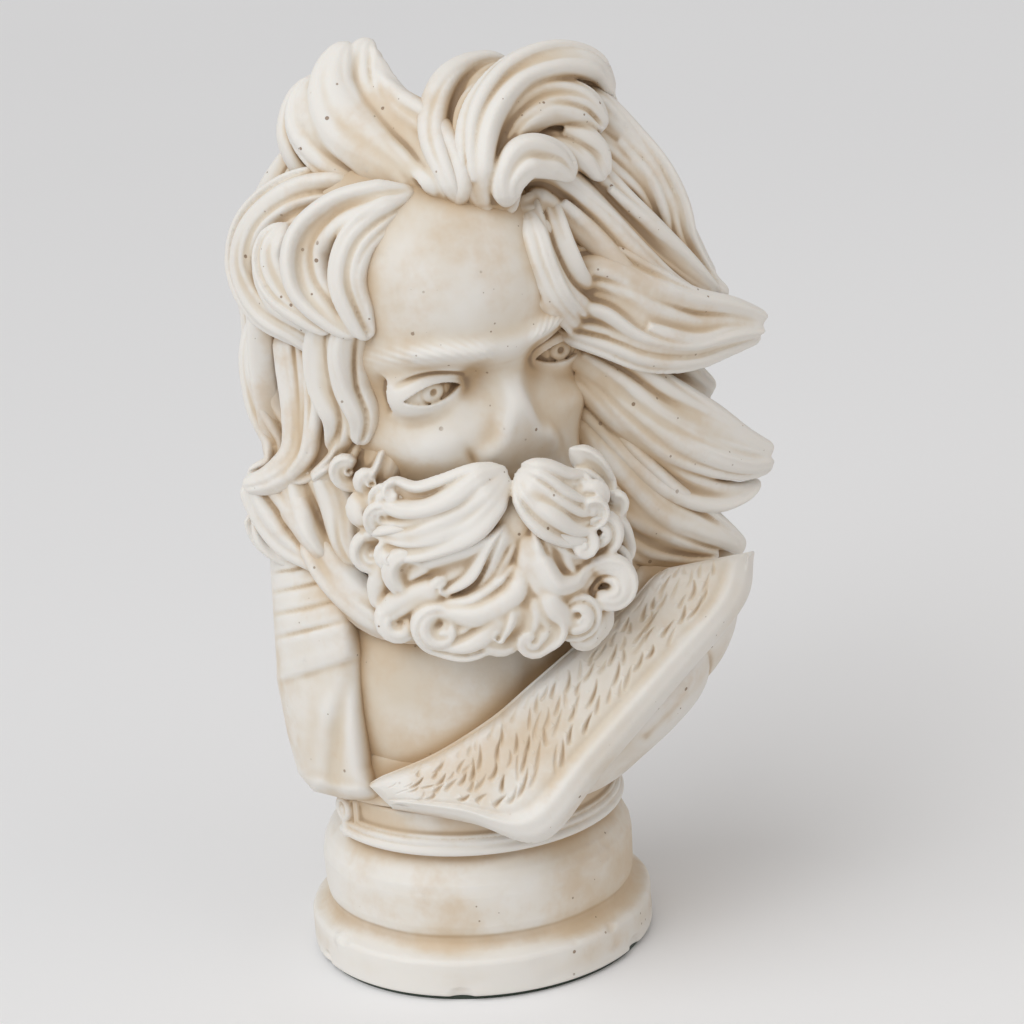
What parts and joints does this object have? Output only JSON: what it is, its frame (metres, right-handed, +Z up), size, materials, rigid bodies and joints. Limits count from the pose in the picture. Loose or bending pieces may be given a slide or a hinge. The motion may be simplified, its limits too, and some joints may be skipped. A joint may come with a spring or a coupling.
{
  "type": "marble bust",
  "caption": "Marble bust of a bearded man with long windblown hair, a fur-edged cloak open over the chest and a round turned socle with a scroll tablet",
  "frame": {"origin": "centre of the flat underside that rests on the table, on the socle's axis", "axes": "+Z up through the socle, the bust faces -Y, its own right side is towards -X and its hair blows towards +X"},
  "size_m": [0.2253, 0.1941, 0.4161],
  "materials": {
    "marble": "warm white cast marble, hand-smoothed, with fine pinholes and an ochre tint in the recesses",
    "felt": "dark green wool felt, glued under the foot",
    "steel": "plain threaded rod, washer and nut, hidden inside"
  },
  "bodies": {
    "root": {"felt_pad": "felt", "socle": "marble", "mounting_rod": "steel", "rod_washer": "steel", "rod_nut": "steel", "scroll_tablet": "marble", "torso": "marble", "neck_dowel": "steel", "head": "marble", "moustache": "marble", "beard": "marble", "cloak": "marble", "cloak_right_panel": "marble", "fur_lapel": "marble", "collar_roll": "marble", "crown_lock_right": "marble", "crown_lock_left": "marble", "temple_loop": "marble", "side_locks_right": "marble", "nape_locks_right": "marble", "windblown_locks_upper": "marble", "windblown_locks_middle": "marble", "windblown_locks_lower": "marble", "windblown_locks_nape": "marble", "back_hair": "marble"}
  },
  "joints": []
}
